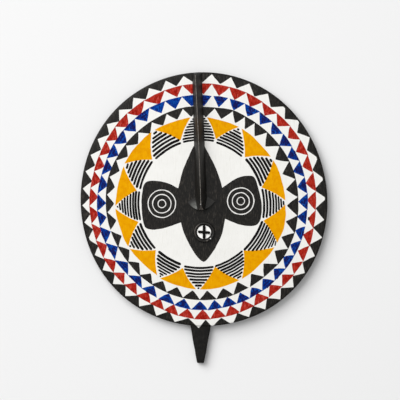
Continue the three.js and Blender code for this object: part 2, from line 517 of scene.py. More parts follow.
@dataclass
class Zigzag:
    """A white field whose edge runs in and out between black teeth."""

    outer: Callable[[float], Point]
    inner: Callable[[float], Point]
    anchors: tuple
    count: int
    seed: int
    notch_flat: float = 0.5
    # Directions of the white points that end blunt, and how wide those end, in degrees
    blunt: tuple = ()
    blunt_width: float = 1.2
    # Directions of the notches that came out wide, each with its width, in degrees
    wide_notches: tuple = ()
    # How far a notch strays to the side, in degrees
    notch_stray: float = 0.25
    side_bow: float = 0.7
    bow_count: int = 7

    def lay_on(self, pattern: Pattern) -> None:
        """Paints the white field.

        Args:
            pattern: The pattern that gets it.
        """
        chance = random.Random(self.seed)
        angles = between(self.anchors, self.count)
        corners = []
        for number, angle in enumerate(angles):
            after = angles[(number + 1) % self.count] + (360 if number == self.count - 1 else 0)
            if is_near(angle, self.blunt):
                half = self.blunt_width / 2
                corners += [self.outer(angle - half), self.outer(angle + half)]
            else:
                corners.append(self.outer(angle))
            middle = (angle + after) / 2 + chance.uniform(-self.notch_stray, self.notch_stray)
            own = [width for place, width in self.wide_notches if is_near(middle, [place])]
            half = (own[0] if own else self.notch_flat) / 2
            corners += [self.inner(middle - half), self.inner(middle + half)]
        bows = [chance.uniform(-self.side_bow, self.side_bow) for _ in range(self.bow_count)]
        pattern.lay(Paint.WHITE, pattern.closed(corners, bows))


@dataclass
class RayRing:
    """Twelve yellow rays that point inward, with brush strokes in the gaps between them."""

    circle: Oval = Oval(-5.3, -5.4, 161.6, 163.2, swings=(
        (4, 0.5), (14, -0.5), (25, 0), (34, -1.5), (43, -2.5), (56, -1), (68, -0.6), (76, -1.2),
        (84, 0.1), (97, 0.6), (108, -0.2), (121, 1), (128, 1.3), (136, 0.7), (144, 1.1), (151, 0.5),
        (164, -1.4), (174, -1.1), (182, 0.3), (187, 0.3), (197, -1.9), (206, -0.9), (226, -3.2),
        (237, -2.6), (243, 0.3), (255, 0.4), (266, 1.7), (277, 2.7), (292, 2.3), (303, 2.6),
        (315, 1.4), (325, 2.8), (334, 3.6), (343, 5), (351, 3.4), (358, 0.8),
    ))
    # Each ray's point and its two base corners, in degrees, and how far its point reaches in
    rays: tuple = (
        (13.9, 1.6, 29.9, 41), (45.3, 33, 60.6, 38.5), (76.1, 62.8, 85.4, 37.7),
        (107.8, 96.5, 122.4, 38.4), (138.4, 124.8, 152.9, 39.9), (169, 154.7, 181.9, 37.2),
        (197, 183.9, 211.2, 36.9), (226.4, 212.8, 239.2, 35.7), (254.8, 241.8, 267.2, 35.2),
        (283.2, 269.7, 297.2, 41.2), (312.8, 299, 329.4, 41), (344.4, 332.8, 359, 41.6),
    )
    hollow: float = 2.1
    # The strokes of the gap after each ray: how many, the radii of the first and of the last, how
    # far the innermost and the outermost fall inward over the gap, and how much they crowd outward
    hatches: tuple = (
        (7, 120, 157, 0, 0, 0.5), (8, 118, 156.2, 0.4, 0, 0.3), (9, 119, 159, 0.5, 0.5, 1),
        (7, 118.6, 157.4, 0, 0.4, 0.5), (7, 119, 155.2, 2.2, 1.8, 0.7),
        (9, 118.2, 157.6, -0.6, 1.4, 0.8), (7, 121.2, 156.2, -0.6, -0.8, 1.2),
        (8, 121.4, 158.2, -0.6, -0.4, 1.8), (8, 123, 161.4, 0, 0, 0.6),
        (8, 121.8, 158.5, 1.6, 0.6, 0.4), (9, 122.8, 162.4, -1.4, 2.6, 2),
        (8, 122.4, 159, 2.6, 1, 1.6),
    )
    # How much further than usual the strokes of each gap keep off the ray before and the ray after
    margins: tuple = (
        (-0.2, 1.5), (2.3, 0), (0, 1.9), (-2, 2.4), (-0.2, 1.3), (-1.5, 0.4),
        (0.6, 0.4), (2.8, 2.4), (0, 0), (-1.5, -0.5), (-1.2, -1.2), (2.1, -0.4),
    )
    stroke_share: float = 0.77
    # How far the innermost and the outermost stroke keep off the rays
    clearance: float = 1.9
    outer_clearance: float = 3.6
    straightness: float = 0.12
    # How far a stroke strays outward and at its ends, and how its width varies
    radius_stray: float = 0.3
    end_stray: tuple = (-0.5, 0.6)
    width_spread: tuple = (0.88, 1.1)
    # Half the length of the shortest stroke, as a share of its width
    shortest: float = 0.6
    # Where a stroke's round end has its corner: how far before the end, and how far out, as shares
    cap_corner: tuple = (0.3, 0.7)
    point_step: float = 3
    seed: int = 8

    def ray(self, pattern: Pattern, number: int) -> list[Point]:
        """Outline of one yellow ray: base corner, point, base corner, and the bulging base."""
        point, first, last, reach = self.rays[number]
        tip = self.circle.at(point, reach)
        sides = pattern.side(self.circle.at(last), tip, self.hollow)
        sides += pattern.side(tip, self.circle.at(first), self.hollow)
        steps = round(last - first)
        return sides + [self.circle.at(first + (last - first) * i / steps) for i in range(steps)]

    def side_angle(self, number: int, after: bool, radius: float) -> float:
        """Angle of a ray's side at a radius.

        Args:
            number: Which ray.
            after: Whether the side at the larger angle is meant.
            radius: Distance from the circle's middle.

        Returns:
            The angle in degrees.
        """
        turns, which = divmod(number, len(self.rays))
        point, first, last, reach = self.rays[which]
        corner = last if after else first
        base = self.circle.across + swing(self.circle.swings, point)
        share = min(1.0, max(0.0, 1 - (base - radius) / reach))
        sag = math.degrees(self.hollow * math.sin(math.pi * share) / radius)
        spread = max(0.0, abs(corner - point) * share - sag)
        return 360 * turns + point + (spread if after else -spread)

    def lay_on(self, pattern: Pattern) -> None:
        """Paints the rays and the strokes.

        Args:
            pattern: The pattern that gets them.
        """
        for number in range(len(self.rays)):
            pattern.lay(Paint.YELLOW, self.ray(pattern, number))
        chance = random.Random(self.seed)
        for number, (count, low, high, low_fall, high_fall, crowding) in enumerate(self.hatches):
            left, right = self.margins[number]
            for stroke in range(count):
                share = stroke / (count - 1)
                step = (high - low + 4 * crowding * (1 - 2 * share)) / (count - 1)
                fall = low_fall + (high_fall - low_fall) * share
                radius = low + (high - low) * share + 4 * crowding * share * (1 - share)
                radius += chance.uniform(-self.radius_stray, self.radius_stray)
                clear = self.clearance + (self.outer_clearance - self.clearance) * share ** 2
                start = self.side_angle(number, True, radius + fall / 2)
                start += math.degrees((clear + left) / radius)
                start += math.degrees(chance.uniform(*self.end_stray) / radius)
                end = self.side_angle(number + 1, False, radius - fall / 2)
                end -= math.degrees((clear + right) / radius)
                end -= math.degrees(chance.uniform(*self.end_stray) / radius)
                width = self.stroke_share * step * chance.uniform(*self.width_spread)
                least = math.degrees(self.shortest * width / radius)
                if end - start < 2 * least:
                    middle = (start + end) / 2
                    start, end, fall = middle - least, middle + least, 0
                pattern.lay(Paint.BRUSH_BLACK, self.stroke(radius, start, end, width, fall))

    def stroke(
        self, radius: float, start: float, end: float, width: float, fall: float,
    ) -> list[Point]:
        """Outline of one brush stroke along the circle, with round ends.

        Args:
            radius: Distance of its middle from the circle's middle.
            start: Angle where the stroke begins, in degrees.
            end: Angle where it ends.
            width: Its width.
            fall: How much further in it ends than it begins.

        Returns:
            The outline's points.
        """
        half = width / 2
        cap = math.degrees(half / radius)
        half_run = math.radians(end - start) / 2
        sag = self.straightness * radius * (1 - math.cos(half_run))
        count = max(2, round(2 * half_run * radius / self.point_step))
        there, back = [], []
        true_circle = replace(self.circle, swings=())

        def place(angle: float, out: float) -> Point:
            """A point at an angle, so far out from the stroke's middle line."""
            way = 2 * (angle - start) / (end - start) - 1
            line = radius - fall * way / 2 - sag * (1 - way ** 2)
            return true_circle.at(angle, true_circle.across - line - out)

        for i in range(count + 1):
            angle = start + cap + (end - start - 2 * cap) * i / count
            there.append(place(angle, half))
            back.insert(0, place(angle, -half))
        before, out = self.cap_corner
        before, out = before * cap, out * half
        return [
            *there, place(end - before, out), place(end, 0), place(end - before, -out),
            *back, place(start + before, -out), place(start, 0), place(start + before, out),
        ]


@dataclass
class FaceFigure:
    """The black figure in the middle: forehead, two wings with ringed eyes, and a pointed chin."""

    # Runs of points joined smoothly; the figure has a corner where one run ends and the next begins
    runs: tuple = (
        ((-7, 112), (-17.6, 103), (-28, 81), (-38.2, 57), (-43.6, 37), (-47.2, 22.4)),
        (
            (-47.2, 22.4), (-63.5, 30.8), (-79.5, 35.3), (-95, 36.8), (-105.5, 35.6),
            (-112.4, 29.8), (-115.8, 15), (-117.3, -3), (-116.2, -27), (-112.8, -46),
            (-108, -53.8), (-95, -56.6), (-78, -54.4), (-61, -49.4), (-42, -42.8),
        ),
        ((-42, -42.8), (-38.6, -56), (-33.2, -70), (-20, -95.4), (-7, -112.5), (0.2, -118)),
        ((0.2, -118), (4.8, -116.4), (13.4, -106.5), (24.4, -89.6), (36.2, -64.5), (42.2, -35.9)),
        (
            (42.2, -35.9), (56.4, -42), (72, -47.4), (89, -49.8), (101.4, -47.8), (107.4, -41.6),
            (111, -30), (112.2, -14), (109.6, 6), (104.6, 26), (99.6, 40.4), (93, 45.6),
            (77.2, 45.6), (61.8, 40.2), (48.2, 31.6), (36.8, 23.4),
        ),
        ((36.8, 23.4), (31.6, 42), (22.6, 65), (12, 86), (3.4, 102), (-2, 112)),
    )
    # Each eye's middle and the radii of its three rings
    eyes: tuple = ((-78.4, -7.1, (26.2, 17.6, 7.5)), (71.9, -2.1, (25.3, 16.2, 7.2)))
    ring_line: float = 1.75
    ring_tremble: float = 1.5
    # How far apart the points of the outline and of the rings are
    outline_step: float = 2.4
    ring_step: float = 2

    def outline(self) -> list[Point]:
        """The figure's outline through all the runs."""
        points = []
        for run in self.runs:
            ends = [Vector(run[0]) * 2 - Vector(run[1]), *map(Vector, run)]
            ends.append(Vector(run[-1]) * 2 - Vector(run[-2]))
            for before, start, end, after in zip(ends, ends[1:], ends[2:], ends[3:]):
                count = max(2, round((end - start).length / self.outline_step))
                for i in range(count):
                    t = i / count
                    points.append(tuple(0.5 * (
                        2 * start + (end - before) * t
                        + (2 * before - 5 * start + 4 * end - after) * t ** 2
                        + (3 * start - 3 * end + after - before) * t ** 3
                    )))
        return points

    def lay_on(self, pattern: Pattern) -> None:
        """Paints the figure and its eyes.

        Args:
            pattern: The pattern that gets them.
        """
        pattern.lay(Paint.BLACK, self.outline())
        for x, y, radii in self.eyes:
            for radius in radii:
                for paint, sign in ((Paint.WHITE, 1), (Paint.BLACK, -1)):
                    size = radius + sign * self.ring_line / 2
                    ring = Oval(x, y, size, size).ring(round(size * math.tau / self.ring_step))
                    pattern.lay(paint, ring, tremble=self.ring_tremble)


def mask_pattern(board: Board) -> Pattern:
    """The whole painted pattern of the mask, from the rim inward.

    Args:
        board: The board that is painted.

    Returns:
        All the shapes of paint in the order in which they are laid.
    """
    red = Oval(0.6, -1.5, 217.6, 222.6, swings=(
        (5, -2.2), (30, 0), (50, -1.6), (85, 1.2), (125, 1.1), (165, -1.7), (180, 0), (212, 0),
        (243, -1.1), (268, 3.8), (298, 1.0), (328, 3.8), (352, -2.4),
    ))
    blue = Oval(-1.2, -2.5, 200.4, 203.7, swings=(
        (0, 0.7), (20, 0.2), (35, -1.5), (50, 0.2), (70, 0.2), (82, -2.2), (97, -0.4), (120, 1.7),
        (140, 0.6), (160, -1.4), (190, 1), (210, 0), (225, -2.1), (240, 0.6), (250, 0.8),
        (268, 4.3), (285, 3), (310, 3), (335, 2.6), (350, 0.8),
    ))
    inner = Oval(-1.6, -3.9, 184.2, 184.2, swings=(
        (0, -0.6), (20, 0), (45, -1.6), (60, -1.5), (70, 0.6), (86, -2.5), (100, -0.4), (125, -2),
        (145, -1.1), (165, 1.1), (180, -0.3), (215, -2.2), (235, 0), (262, 2.7), (285, 3.4),
        (298, 1.6), (310, 1.3), (325, 3.4), (340, 2.2), (355, 0),
    ))
    # The rim's white points go round a middle of their own, this far inside the edge
    rim_middle = Vector((0.4, -1.1))
    rim_margin = 4.6
    # The inner field's white points keep inside the black ring's edge, most at one direction, but
    # two of them run past it
    tip_margin, tip_margin_sine, least_margin_at = 1.7, 0.9, 40
    past_edge, past_edge_at = 2.9, (197.8, 298.2)
    # Depth of the black ring's teeth, with its cosine and sine parts round the mask
    tooth_depth, tooth_depth_cosine, tooth_depth_sine = 18.6, 2.9, 1.1

    def rim_tip(degrees: float) -> Point:
        """Where a white point of the outer field ends, just inside the edge."""
        angle = math.radians(degrees)
        reach = board.edge(angle) - rim_margin + swing((
            (0, -0.9), (20, -1.4), (31, 2.9), (40, 1.4), (49, -0.9), (60, 0.8), (82, 2.2),
            (99, 1.3), (116, -0.4), (150, 0), (185, 1.6), (199, -1.1), (210, 0.2), (240, 0.4),
            (252, 1.7), (262, 2), (267.7, 7), (270.5, 6), (274, 5.2), (283, 3.4), (292, 1),
            (326, 0), (342.7, 2.2), (351, -0.8),
        ), degrees)
        place = rim_middle + reach * Vector((math.cos(angle), math.sin(angle)))
        return tuple(place)

    def rim_notch(degrees: float) -> Point:
        """Where a black tooth of the rim ends, just outside the red ring."""
        return red.at(degrees, -swing((
            (5, -2.3), (15, 0.4), (33, 2.8), (60, 1.4), (82, 1.9), (110, 1.4), (128, 0.2),
            (150, 1.3), (162, 1.2), (170, -0.7), (200, -0.3), (225, -1.1), (252, -0.9),
            (272, 1.2), (282, 0.8), (295, -0.2), (313, 0.8), (340, 0.2), (357, 0.3),
        ), degrees))

    def inner_tip(degrees: float) -> Point:
        """Where a white point of the inner field ends."""
        past = past_edge if is_near(degrees, past_edge_at) else 0
        swung = tip_margin_sine * math.sin(math.radians(degrees - least_margin_at))
        return inner.at(degrees, tip_margin + swung - past)

    def inner_notch(degrees: float) -> Point:
        """Where a tooth of the inner black ring ends."""
        angle = math.radians(degrees)
        depth = tooth_depth + tooth_depth_cosine * math.cos(angle)
        return inner.at(degrees, depth + tooth_depth_sine * math.sin(angle))

    # Without a seed of its own, the noise behind the tremble would differ from run to run
    noise.seed_set(TREMBLE_SEED)
    pattern = Pattern()
    pattern.lay(Paint.BLACK, board.outline(), tremble=0)
    Zigzag(
        rim_tip, rim_notch, count=41, seed=3,
        blunt=(1, 10.2, 20.5, 40, 48.5, 198.4, 282.8), wide_notches=((92.6, 4),),
        anchors=((0, 1), (1, 10.3), (3, 30.7), (5, 49), (7, 68.5), (9, 86.1), (10, 99), (13, 124.1),
                 (15, 141.6), (19, 174.3), (22, 198.5), (27, 238.9), (29, 256.8), (30, 268),
                 (31, 274.1), (32, 283.2), (37, 324.5), (39, 342.7), (40, 350.9)),
    ).lay_on(pattern)
    ToothBand(
        Paint.RED, red, count=42, depth=18.4, depth_sine=1.2, depth_cosine_twice=-1.2, seed=5,
        cut_short=((350, 4.2),),
        anchors=((0, 0), (2, 18.9), (5, 44.5), (7, 63.2), (9, 81.3), (10, 90), (11, 96.2),
                 (12, 104.7), (13, 114.9), (14, 127.3), (16, 144.9), (17, 153), (19, 169.2),
                 (21, 187), (23, 204.2), (24, 213.9), (25, 221.8), (27, 238.2), (30, 261.3),
                 (32, 277.6), (34, 292.2), (36, 309.2), (37, 317.7), (38, 325.7), (39, 332.9),
                 (41, 350.7)),
    ).lay_on(pattern)
    TwiceCoatedBand(
        Paint.BLUE, blue, count=40, depth=18.5, depth_sine=1.7, depth_cosine_twice=-0.8, seed=6,
        breaks=(76.8, 84.6, 245.3, 346.8), cut_short=((81, 1.5),),
        anchors=((0, -0.4), (3, 26.8), (5, 43.8), (7, 61.4), (8, 70.8), (9, 79.8), (10, 89),
                 (11, 96.2), (12, 106.3), (13, 115.1), (14, 125.4), (18, 160.6), (20, 181),
                 (22, 198), (23, 208), (25, 229.9), (27, 249.8), (29, 268.8), (30, 276.8),
                 (31, 284.7), (32, 292.9), (33, 300.1), (34, 308.6), (36, 325.8)),
    ).lay_on(pattern)
    # A slip of the black brush at the point of one red tooth
    pattern.lay(Paint.BRUSH_BLACK, Oval(201.6, -35.8, 1.9, 3.9).ring(8), tremble=2)
    pattern.lay(Paint.BLACK, inner.ring(300))
    # The white field's points lie between the black teeth, half a tooth on
    teeth = between(
        ((0, 8.4), (4, 52.4), (5, 60.2), (6, 66.6), (7, 76.1), (8, 88.6), (9, 96.6), (12, 127.3),
         (17, 180.9), (18, 191.6), (19, 203), (20, 213), (21, 224.8), (23, 243.4), (25, 263.6),
         (27, 283.5), (29, 304.1), (30, 315.2), (32, 336.8), (33, 346.2), (34, 357.6)),
        count=35,
    )
    gaps = [(a + b) / 2 for a, b in zip(teeth, [*teeth[1:], teeth[0] + 360])]
    Zigzag(
        inner_tip, inner_notch, count=len(gaps), seed=4, notch_flat=0.6,
        anchors=tuple(enumerate(gaps)),
    ).lay_on(pattern)
    RayRing().lay_on(pattern)
    FaceFigure().lay_on(pattern)
    return pattern


# The carving


@dataclass
class PaintedBoard:
    """The board with its painted face, sides and back."""

    board: Board
    pattern: Pattern
    # How far the hand-levelled face lies off its true height, the size of its waves, and where
    # they fade out towards the edge
    uneven: float = 0.35
    uneven_size: tuple = (34, 46)
    uneven_layer: float = 6
    uneven_inset: float = 4
    uneven_fade: float = 20
    # Even points that carry the crown: their spacing, and how far they keep off paint and edge
    grid_step: float = 7
    grid_clearance: float = 2.2
    grid_inset: float = 4
    rim_rings: tuple = (0.25, 0.9, 1.9, 3.0)
    back_steps: int = 3
    # Steps inward over the flat back, and how far the sides' black paint laps over onto it
    back_rings: tuple = (7, 60)
    lap: float = 9

    def face(self) -> bpy.types.Object:
        """Cuts the face along every edge of paint and lifts it to the crown.

        Returns:
            The painted face as an open skin.
        """
        points: list[Vector] = []
        edges: list[tuple[int, int]] = []

        def loop(outline: Sequence[Point]) -> list[int]:
            """Adds a closed run of points and gives their numbers."""
            first = len(points)
            points.extend(Vector(point) for point in outline)
            return list(range(first, len(points)))

        shapes = [loop(outline) for _, outline in self.pattern.shapes]
        for inset in self.rim_rings:
            ring = loop(self.board.outline(inset))
            edges += list(zip(ring, ring[1:] + ring[:1]))
        points += self.grid(points)
        all_triangles, nearest, with_sources = 0, 1e-4, True
        made, _, faces, _, _, sources = geometry.delaunay_2d_cdt(
            points, edges, shapes, all_triangles, nearest, with_sources
        )
        # Shape 0 is the board itself; a face has the paint of the last shape that covers it
        kept, paints = [], []
        for corners, source in zip(faces, sources):
            if 0 in source:
                kept.append(corners)
                paints.append(self.pattern.shapes[max(source)][0].value)
        lifted = [(x, y, self.board.height(x, y) + self.unevenness(x, y)) for x, y in made]
        skin = mesh_object("board", lifted, faces=kept)
        skin.data.polygons.foreach_set("material_index", paints)
        return skin

    def unevenness(self, x: float, y: float) -> float:
        """How far the face lies under or over its true height, nothing at the edge."""
        inside = self.board.edge(math.atan2(y, x)) - math.hypot(x, y) - self.uneven_inset
        share = min(1.0, max(0.0, inside / self.uneven_fade))
        across, up = self.uneven_size
        return share * self.uneven * noise.noise(Vector((x / across, y / up, self.uneven_layer)))

    def grid(self, taken: Sequence[Vector]) -> list[Vector]:
        """Even points that carry the crown where no edge of paint runs.

        Args:
            taken: Points that the grid keeps clear of.

        Returns:
            The grid's points.
        """
        tree = kdtree.KDTree(len(taken))
        for number, point in enumerate(taken):
            tree.insert((*point, 0), number)
        tree.balance()
        row_step = self.grid_step * math.sqrt(3) / 2
        half = math.ceil(self.board.diameter / 2 / row_step) + 1
        found = []
        for row in range(-half, half + 1):
            for column in range(-half, half + 1):
                x = (column + 0.5 * (row % 2)) * self.grid_step
                y = row * row_step
                if math.hypot(x, y) > self.board.edge(math.atan2(y, x)) - self.grid_inset:
                    continue
                if tree.find((x, y, 0))[2] > self.grid_clearance:
                    found.append(Vector((x, y)))
        return found

    def build(self) -> bpy.types.Object:
        """The closed board: the face, its side wall drawn down from it, and a back.

        Returns:
            The board.
        """
        thing = self.face()
        in_edit_mode(thing)
        bpy.ops.mesh.select_non_manifold(
            extend=False, use_wire=False, use_boundary=True,
            use_multi_face=False, use_non_contiguous=False, use_verts=False,
        )
        wall = self.board.rim_thickness - self.board.front_rounding - self.board.back_rounding
        self.draw_down(wall, 0)
        radius = self.board.diameter / 2
        done_down = done_in = 0.0
        for step in range(1, self.back_steps + 1):
            turn = math.pi / 2 * step / self.back_steps
            down = self.board.back_rounding * math.sin(turn)
            inward = self.board.back_rounding * (1 - math.cos(turn))
            self.draw_down(down - done_down, (inward - done_in) / radius)
            done_down, done_in = down, inward
        for step in self.back_rings:
            self.draw_down(0, step / radius)
        bpy.ops.mesh.edge_face_add()
        bpy.ops.object.mode_set(mode="OBJECT")
        wall_top = self.board.rim_thickness - self.board.front_rounding - 0.1
        for face in thing.data.polygons:
            x, y, z = face.center / MM
            reach = self.board.edge(math.atan2(y, x)) - self.lap
            if z < 0.01 and math.hypot(x, y) < reach:
                face.material_index = Paint.BARE_WOOD.value
            elif z < wall_top:
                face.material_index = Paint.KNIFED_BLACK.value
        outward(thing)
        return thing

    @staticmethod
    def draw_down(down: float, inward_share: float) -> None:
        """Extrudes the selected edge loop down and inward.

        Args:
            down: How far down, in millimetres.
            inward_share: By what share of its size the loop shrinks.
        """
        bpy.ops.mesh.extrude_region_move(TRANSFORM_OT_translate={"value": (0, 0, -down * MM)})
        if inward_share:
            size = 1 - inward_share
            bpy.ops.transform.resize(value=(size, size, 1), center_override=(0, 0, 0))


@dataclass
class Nose:
    """The ridge that runs down from the top edge, and the nose that it ends in."""

    board: Board
    top_width: float = 18.4
    nose_width: float = 22.4
    height: float = 24
    crest_flat: float = 0.9
    top_x: float = -11.4
    nose_x: float = -2.8
    crest_top_shift: float = -3.6
    crest_nose_shift: float = -1.0
    crest_bow: float = 0.9
    highlight_end: float = 2.4
    end_slope: float = 4
    bottom_x: float = -4.7
    crest_end_y: float = -9.5
    bottom_y: float = -18.9
    bottom_height: float = 8.5
    left_reach: float = 24
    right_reach: float = 27.5
    left_rise: float = 13.9
    right_rise: float = 16.4
    tip_height: float = 3
    shoulder_reach: float = 22.5
    shoulder_y: float = 0
    root_y: float = 6
    foot_depth: float = 8
    foot_sink: float = 0.7
    sections: int = 40
    # How far the crest sways to the side, and how far its height and the feet of the sides wander
    sway: float = 0.35
    wander: float = 0.3
    # How far below its top the crest's edges still count, and how they are rounded
    crest_depth: float = 1.2
    crest_rounding: float = 0.45
    flare_steps: int = 20

    def ridge(self) -> bpy.types.Object:
        """The ridge: a block drawn into sections, its sides sloped up to a narrow worn crest.

        Returns:
            The ridge.
        """
        thing = block("ridge")
        pick_edges(thing, lambda first, second: abs(first.y - second.y) > 1)
        bpy.ops.mesh.subdivide(number_cuts=self.sections - 1)
        bpy.ops.object.mode_set(mode="OBJECT")
        top_y = self.board.edge(math.pi / 2) - self.board.front_rounding / 2
        shift = self.crest_nose_shift - self.crest_top_shift
        low = -self.foot_depth / self.height
        for corner in thing.data.vertices:
            side, run, level = corner.co
            share = (1 - run) / 2
            y = top_y + (self.bottom_y - top_y) * share
            middle = self.top_x + (self.nose_x - self.top_x) * share
            crest = middle + self.crest_top_shift + shift * share
            crest += self.crest_bow * math.sin(math.pi * share)
            foot = self.board.height(middle, y)
            half_width = (self.top_width + (self.nose_width - self.top_width) * share) / 2
            if level > 0:
                x = crest + side * self.crest_flat / 2 + self.sway * drift(y, 30, 4)
                z = foot + self.height + self.wander * (drift(y, 17, 9) - 0.5)
                y -= self.end_slope if share == 0 else 0
            else:
                base = middle + side * (half_width + self.wander * drift(y, 22, 1, side))
                top = crest + side * self.crest_flat / 2
                x = base + (top - base) * low
                z = foot - self.foot_depth
            corner.co = Vector((x, y, z)) * MM
        self.cut_tip(thing)
        self.soften(thing)
        cover(thing, Paint.HANDLED)
        for face in thing.data.polygons:
            x, y, z = face.center / MM
            # The facet under the crest's end, which faces down, is painted grey as a highlight
            if face.normal.y < -0.4 and face.normal.z > 0.2:
                face.material_index = Paint.WORN_BLACK.value
            # The crest's flat top is painted light grey as a highlight, and its very end white
            elif face.normal.z > 0.9 and z > self.board.height(x, y) + self.height - 0.4:
                at_end = y < self.crest_end_y + self.highlight_end
                face.material_index = (Paint.WHITE if at_end else Paint.RUBBED).value
        outward(thing)
        return thing

    def cut_tip(self, thing: bpy.types.Object) -> None:
        """Cuts the crest's end off along a slope down to the nose's lower edge."""
        crest_z = self.board.height(self.bottom_x, self.crest_end_y) + self.height
        edge_z = self.board.height(self.bottom_x, self.bottom_y) + self.bottom_height
        run, fall = self.crest_end_y - self.bottom_y, crest_z - edge_z
        in_edit_mode(thing)
        bpy.ops.mesh.select_all(action="SELECT")
        bpy.ops.mesh.bisect(
            plane_co=(0, self.crest_end_y * MM, crest_z * MM),
            plane_no=(0, -fall, run),
            use_fill=True, clear_outer=True,
        )
        bpy.ops.mesh.select_all(action="SELECT")
        bpy.ops.mesh.bisect(
            plane_co=(0, (self.crest_end_y + self.highlight_end) * MM, 0), plane_no=(0, 1, 0),
        )
        bpy.ops.object.mode_set(mode="OBJECT")

    def soften(self, thing: bpy.types.Object) -> None:
        """Rounds the crest's two edges and the end's edges a little, as use has."""

        def on_crest(place: Vector) -> bool:
            """Whether a corner stands on the crest."""
            x, y, z = place / MM
            return z > self.board.height(x, y) + self.height - self.crest_depth

        pick_edges(thing, lambda first, second: on_crest(first) and on_crest(second))
        round_edges(self.crest_rounding, segments=2)
        bpy.ops.object.mode_set(mode="OBJECT")

    def flare(self) -> bpy.types.Object:
        """The nose's flare: a ramp that rises from the face towards a bow-shaped lower edge.

        Returns:
            The flare.
        """
        foot = self.board.height(self.bottom_x, self.bottom_y)
        places = []

        def post(x: float, y: float, height: float) -> None:
            """One upright from inside the board up to the flare's skin."""
            places.append((x, y, foot - self.foot_depth))
            places.append((x, y, foot + height))

        for step in range(self.flare_steps + 1):
            share = 2 * step / self.flare_steps - 1
            reach = self.left_reach if share < 0 else self.right_reach
            rise = self.left_rise if share < 0 else self.right_rise
            height = self.bottom_height + (self.tip_height - self.bottom_height) * share ** 2
            post(self.bottom_x + share * reach, self.bottom_y + rise * share ** 2, height)
        for side in (-1, 1):
            post(self.bottom_x + side * self.shoulder_reach, self.shoulder_y, -self.foot_sink)
            post(self.nose_x + side * self.nose_width / 2, self.root_y, -self.foot_sink)
        thing = mesh_object("flare", places)
        in_edit_mode(thing, "VERT")
        bpy.ops.mesh.select_all(action="SELECT")
        bpy.ops.mesh.convex_hull()
        bpy.ops.mesh.select_all(action="SELECT")
        bpy.ops.mesh.dissolve_limited(angle_limit=math.radians(1))
        bpy.ops.object.mode_set(mode="OBJECT")
        # The flare is painted black, with a painted highlight in lighter grey on its left facet
        cover(thing, Paint.WORN_NOSE)
        outward(thing)
        return thing


